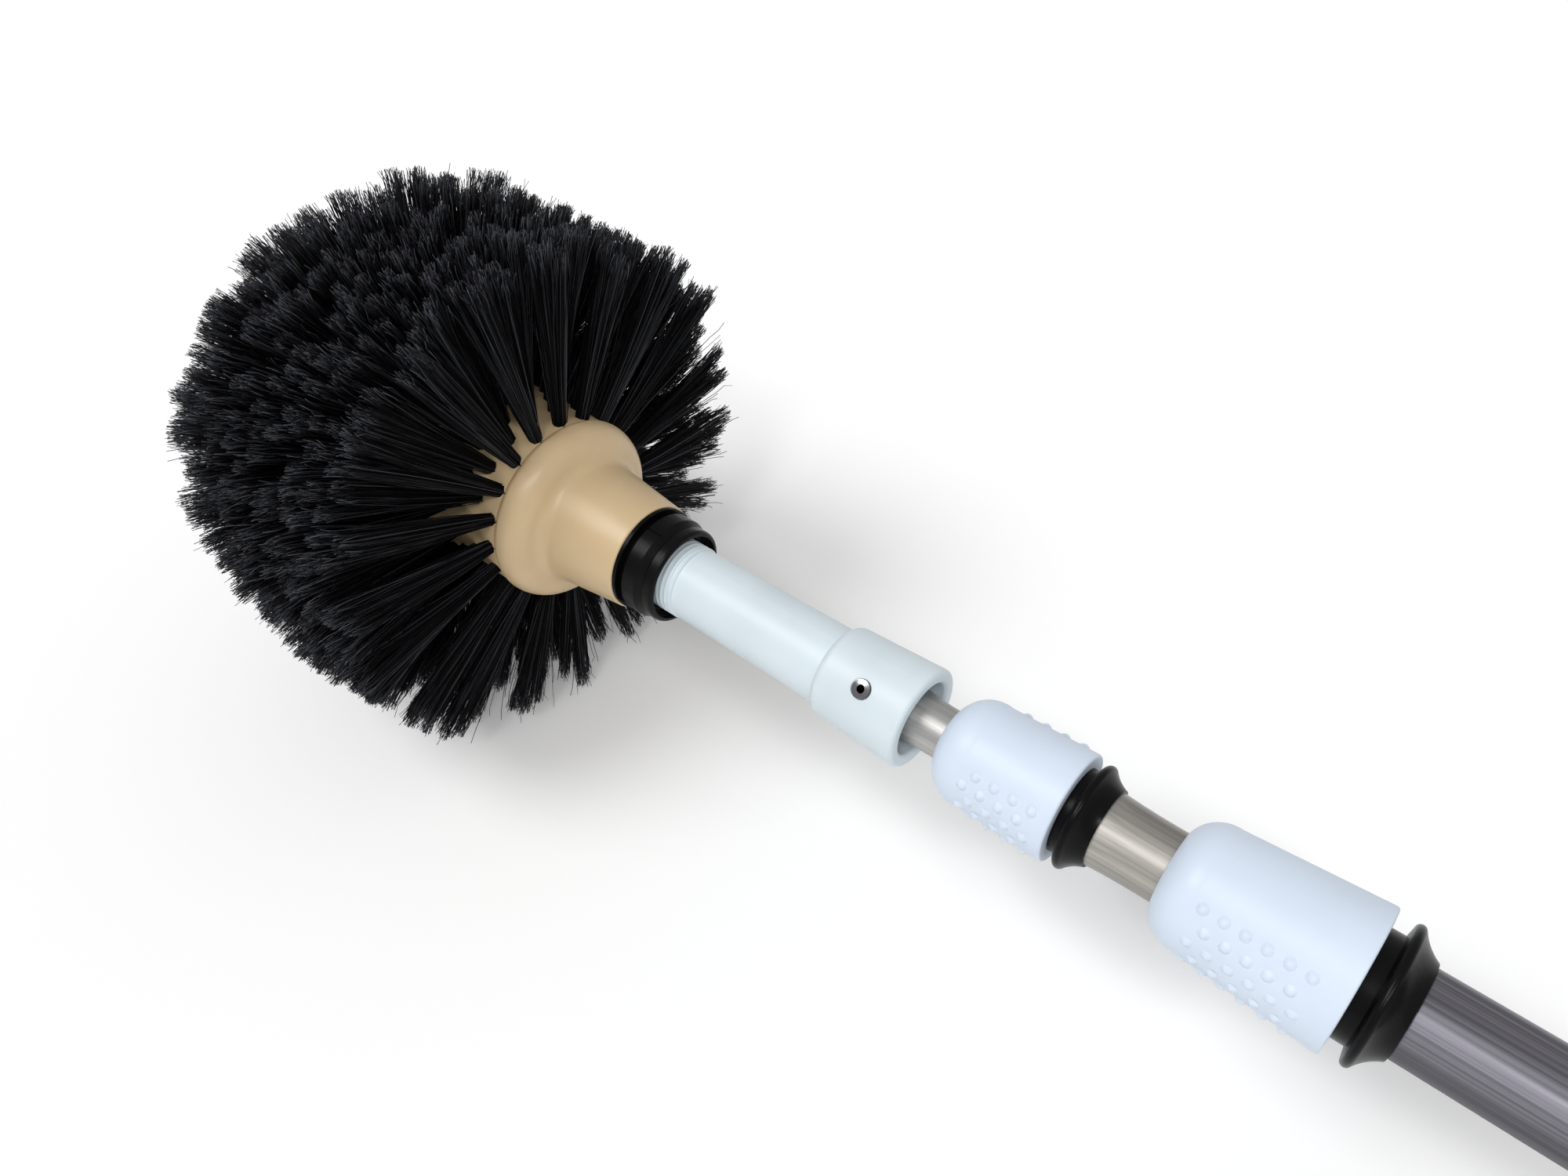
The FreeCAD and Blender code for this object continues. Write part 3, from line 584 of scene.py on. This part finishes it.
class COBWEB_OT_bristles(bpy.types.Operator):
    """Plant every tuft with flared, ragged filaments"""

    bl_idname = "cobweb.bristles"
    bl_label = "Bristles"

    # Forward part of a tuft's direction: on the straight rows, and its gain by the dome's first row
    STRAIGHT_LEAN = 0.09
    DOME_GAIN = 0.24
    # Rows beside the dome's edge lean towards each other: forward reach of their tips
    EDGE_LEAN = {"tufts_row_07": 1.5 * MM, "tufts_row_08": 4.5 * MM, "tufts_row_09": -6.0 * MM,
                 "tufts_row_10": -2.0 * MM}
    # Stations along a filament, closer together in its frayed end, and how loose it is at each
    FRAYED = 0.88
    STATIONS = np.array([0.0, 0.35, 0.65, FRAYED, 0.945, 1.0])
    LOOSE = np.clip((STATIONS - FRAYED) / (1 - FRAYED), 0, 1)
    SIDES = 3
    # Share of the hole's radius that the roots fill
    ROOT_FILL = 0.85
    # Scatter of the tips, and length that the outermost filaments of a lock lose
    TIP_SCATTER = 0.25 * MM
    LOCK_POINT = 3.0 * MM
    # Middles of the locks: share of the tuft's radius and its scatter, then scatter round the tuft in locks
    LOCK_PLACE = (0.6, 0.1)
    LOCK_SCATTER = 0.12
    # Scatter of the filaments: outwards as a share, round the tuft in radians, and of the radius as a share
    REACH_SCATTER = 0.05
    TURN_SCATTER = 0.25
    RADIUS_SCATTER = 0.1
    # Grey of the split ends, then painted sheen on whole filaments: the most there is, and the power that
    # makes it rare
    DUSTY = (2.0, 6)
    PAINTED_SHEEN = (0.8, 5)

    def execute(self, context):
        settings, finish = context.scene.cobweb_bristles, context.scene.cobweb_finish
        fibre = bristle_material(finish.bristle, finish.tip)
        rng = np.random.default_rng(settings.seed)
        for node in TUFT_ROWS:
            piece = self.row(node, settings, rng)
            give(piece, fibre)
            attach(piece, HEAD_BODY)
            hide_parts(node)
        return {"FINISHED"}

    def row(self, node, settings, rng):
        """One piece with all filaments of a row."""
        forward = self.EDGE_LEAN.get(node, 0)
        tufts = [self.tuft(line, forward, settings, rng) for line in tuft_lines(node)]
        verts = np.concatenate([points for points, _ in tufts])
        # How far each point is lightened: split-end grey plus painted sheen
        grey = np.concatenate([share for _, share in tufts])
        piece = new_piece(node.replace("tufts", "bristles"), verts.tolist(), self.faces(len(verts)))
        layer = piece.data.attributes.new(GREY_AND_SHEEN_LAYER, "FLOAT", "POINT")
        layer.data.foreach_set("value", grey.astype(np.float32))
        return piece

    def tuft(self, line, forward, settings, rng):
        """Points of one tuft's filaments, and how far each point is lightened: split-end grey and painted
        sheen.
        """
        root, tip, root_r, tip_r = line
        axis = tip - root
        length = np.linalg.norm(axis)
        axis = axis / length
        dome = np.clip((axis[0] - self.STRAIGHT_LEAN) / self.DOME_GAIN, 0, 1)
        wide = np.array([settings.fan, settings.spread]) * (1 - dome) + settings.bush * dome
        n = int(settings.filaments * (1 + settings.dense * dome))
        locks = round(settings.locks * (1 + dome))
        lay, own, pull = self.lay_out(n, locks, rng)
        foot = lay * root_r * self.ROOT_FILL
        head = lay * tip_r * wide + rng.normal(0, self.TIP_SCATTER, (n, 2))
        stray = rng.random(n) < settings.stray_share
        head += np.where(stray[:, None], lay * settings.stray_reach * rng.random((n, 1)), 0)
        gather = np.where(stray[:, None], 0, pull * settings.cling * tip_r * wide)
        short = settings.ragged * rng.random(locks) ** 1.5
        cut = short[own] + settings.split * rng.random(n) ** 2
        cut += np.linalg.norm(pull, axis=1) * self.LOCK_POINT
        full = length - cut - settings.uneven * rng.random()
        lean = rng.normal(0, settings.sway, 2) - (0, forward)
        bend = rng.normal(0, settings.bow, (n, 2))
        radius = settings.radius * (1 + rng.normal(0, self.RADIUS_SCATTER, n))
        spin = rng.random(n) * 2 * math.pi
        # Sideways directions: u round the pole, v back along it
        u = np.cross(axis, (1.0, 0.0, 0.0) if abs(axis[0]) < 0.9 else (0.0, 1.0, 0.0))
        u /= np.linalg.norm(u)
        v = np.cross(axis, u)
        rings = []
        for t, loose in zip(self.STATIONS, self.LOOSE):
            flat = foot + (head - foot) * t ** settings.flare + gather * t ** 3
            flat += bend * (t * t - t) * 2 + lean * t ** 1.3
            flat += rng.normal(0, settings.fray, (n, 2)) * loose
            centre = root + np.outer(full * t, axis) + flat[:, :1] * u + flat[:, 1:] * v
            thick = radius * (1 - settings.taper * t)
            for k in range(self.SIDES):
                a = spin + 2 * math.pi * k / self.SIDES
                edge = np.outer(np.cos(a), u) + np.outer(np.sin(a), v)
                rings.append(centre + edge * thick[:, None])
        # Painted sheen: some whole filaments are lightened from root to tip towards the tip grey, in place
        # of light glancing along their shafts
        dusty, painted_sheen = (most * rng.random(n) ** power for most, power in (self.DUSTY, self.PAINTED_SHEEN))
        share = painted_sheen[:, None] + self.LOOSE[None, :] * dusty[:, None]
        return np.stack(rings, 1).reshape(-1, 3), np.repeat(share, self.SIDES, axis=1).reshape(-1)

    def lay_out(self, n, locks, rng):
        """Places of filaments on a unit disc, each one's lock and the way to that lock's middle."""
        golden = math.pi * (3 - math.sqrt(5))
        spots = np.arange(n)
        reach = np.sqrt((spots + 0.5) / n) * (1 + rng.normal(0, self.REACH_SCATTER, n))
        turn = spots * golden + rng.normal(0, self.TURN_SCATTER, n)
        lay = np.stack([np.cos(turn), np.sin(turn)], 1) * reach[:, None]
        around = rng.random() + (np.arange(locks) + rng.normal(0, self.LOCK_SCATTER, locks)) / locks
        middles = np.stack([np.cos(2 * math.pi * around), np.sin(2 * math.pi * around)], 1)
        middles = middles * rng.normal(*self.LOCK_PLACE, (locks, 1))
        aside = middles[None] - lay[:, None]
        own = np.argmin((aside ** 2).sum(2), 1)
        return lay, own, aside[spots, own]

    def faces(self, points):
        """Sides and flat tips of the filaments that have so many points in all."""
        rings, sides = len(self.STATIONS), self.SIDES
        block = []
        for ring in range(rings - 1):
            for k in range(sides):
                a, b = ring * sides + k, ring * sides + (k + 1) % sides
                block.append((a, b, b + sides, a + sides))
        starts = np.arange(0, points, rings * sides)
        faces = (starts[:, None, None] + np.array(block)[None]).reshape(-1, 4).tolist()
        top = (rings - 1) * sides
        faces += [(s + top, s + top + 1, s + top + 2) for s in starts.tolist()]
        return faces


class COBWEB_OT_stage(bpy.types.Operator):
    """Set the pale floor, the soft light and the camera"""

    bl_idname = "cobweb.stage"
    bl_label = "Stage"

    # Camera of the photograph, in the part's frame
    EYE = Vector((1.008, 0.233842, 0.327541))
    LOOK = Vector((0.44440, -0.54660, -0.70974))
    RIGHT = Vector((-0.77591, -0.63084, 0.0))
    UP = Vector((0.44773, -0.55070, 0.70446))

    def execute(self, context):
        settings = context.scene.cobweb_stage
        self.camera(context, settings)
        self.floor(settings)
        self.light(context, settings)
        context.scene.view_settings.view_transform = "Standard"
        return {"FINISHED"}

    def camera(self, context, settings):
        """The photograph's camera."""
        data = bpy.data.cameras.new("photo_camera")
        data.sensor_width = settings.sensor
        data.lens = settings.lens
        data.clip_start = 10 * MM
        camera = bpy.data.objects.new("photo_camera", data)
        turn = Matrix((self.RIGHT, self.UP, -self.LOOK)).transposed().to_4x4()
        camera.matrix_world = Matrix.Translation(self.EYE) @ turn
        context.scene.collection.objects.link(camera)
        context.scene.camera = camera

    def floor(self, settings):
        """A floor that the bristles and the pole's tail rest on."""
        gap = 1.0 * MM
        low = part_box("tufts_row_05")[0]
        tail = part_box("outer_tube")[0]
        slope = math.atan2(tail.z - low.z, low.x - tail.x)
        half = settings.floor_size / 2
        corners = [(-half, -half, 0), (half, -half, 0), (half, half, 0), (-half, half, 0)]
        floor = new_piece("floor", corners, [(0, 1, 2, 3)], smooth=False)
        floor.rotation_euler = (0, slope, 0)
        floor.location = (low.x, 0, low.z - gap)
        material, tree, bsdf = new_material("floor_paper")
        bsdf.inputs["Base Color"].default_value = tuple(settings.floor) + (1,)
        bsdf.inputs["Roughness"].default_value = 0.95
        bsdf.inputs["Specular IOR Level"].default_value = 0.0
        path = tree.nodes.new("ShaderNodeLightPath")
        glow = tree.nodes.new("ShaderNodeEmission")
        both = tree.nodes.new("ShaderNodeAddShader")
        lift = tree.nodes.new("ShaderNodeMath")
        lift.operation = "MULTIPLY"
        lift.inputs[1].default_value = settings.glow
        link_chain(tree, (path.outputs["Is Camera Ray"], lift.inputs[0]),
                   (lift.outputs[0], glow.inputs["Strength"]),
                   (bsdf.outputs[0], both.inputs[0]), (glow.outputs[0], both.inputs[1]),
                   (both.outputs[0], tree.nodes["Material Output"].inputs["Surface"]))
        give(floor, material)

    def light(self, context, settings):
        """A broad lamp at one side, two lamps close to the camera and an even sky."""
        # Name, place beside and above the camera's line, strength, and width in degrees
        lamps = (("lamp_side", -0.9, 0.8, settings.key, 28), ("lamp_left", -0.16, 0.1, settings.front, 9),
                 ("lamp_right", 0.16, 0.12, settings.front, 9))
        for name, aside, rise, strength, angle in lamps:
            lamp = bpy.data.lights.new(name, "SUN")
            lamp.energy = strength
            lamp.angle = math.radians(angle)
            ray = (self.LOOK - self.RIGHT * aside - self.UP * rise).normalized()
            holder = bpy.data.objects.new(name, lamp)
            holder.rotation_mode = "QUATERNION"
            holder.rotation_quaternion = ray.to_track_quat("-Z", "Y")
            context.scene.collection.objects.link(holder)
        world = bpy.data.worlds.new("studio")
        context.scene.world = world
        world.use_nodes = True
        tree = world.node_tree
        sky = tree.nodes["Background"]
        path = tree.nodes.new("ShaderNodeLightPath")
        seen = tree.nodes.new("ShaderNodeMapRange")
        seen.inputs["To Min"].default_value = settings.fill
        seen.inputs["To Max"].default_value = 1.0
        level = tree.nodes.new("ShaderNodeMix")
        level.inputs["B"].default_value = settings.mirrored
        link_chain(tree, (path.outputs["Is Camera Ray"], seen.inputs["Value"]),
                   (path.outputs["Is Glossy Ray"], level.inputs["Factor"]),
                   (seen.outputs["Result"], level.inputs["A"]),
                   (level.outputs["Result"], sky.inputs["Strength"]))
        sky.inputs["Color"].default_value = (1, 1, 1, 1)


OPERATORS = (COBWEB_OT_tubes, COBWEB_OT_locks, COBWEB_OT_adapter, COBWEB_OT_rivet, COBWEB_OT_insert,
             COBWEB_OT_hub, COBWEB_OT_bristles, COBWEB_OT_stage)


class COBWEB_PT_panel(bpy.types.Panel):
    """Pieces of the cobweb brush"""

    bl_idname = "COBWEB_PT_panel"
    bl_label = "Cobweb Brush"
    bl_space_type = "VIEW_3D"
    bl_region_type = "UI"
    bl_category = "Cobweb Brush"

    def draw(self, context):
        for operator in OPERATORS:
            self.layout.operator(operator.bl_idname)


SETTINGS = {"cobweb_bristles": BristleSettings, "cobweb_moulding": MouldingSettings,
            "cobweb_finish": FinishSettings, "cobweb_stage": StageSettings}


def register():
    for group in SETTINGS.values():
        bpy.utils.register_class(group)
    for name, group in SETTINGS.items():
        setattr(bpy.types.Scene, name, PointerProperty(type=group))
    for item in OPERATORS + (COBWEB_PT_panel,):
        bpy.utils.register_class(item)


def unregister():
    for item in reversed(OPERATORS + (COBWEB_PT_panel,)):
        bpy.utils.unregister_class(item)
    for name, group in SETTINGS.items():
        delattr(bpy.types.Scene, name)
        bpy.utils.unregister_class(group)


def main():
    register()
    for operator in OPERATORS:
        getattr(bpy.ops.cobweb, operator.bl_idname.split(".")[1])()


if __name__ == "__main__":
    main()
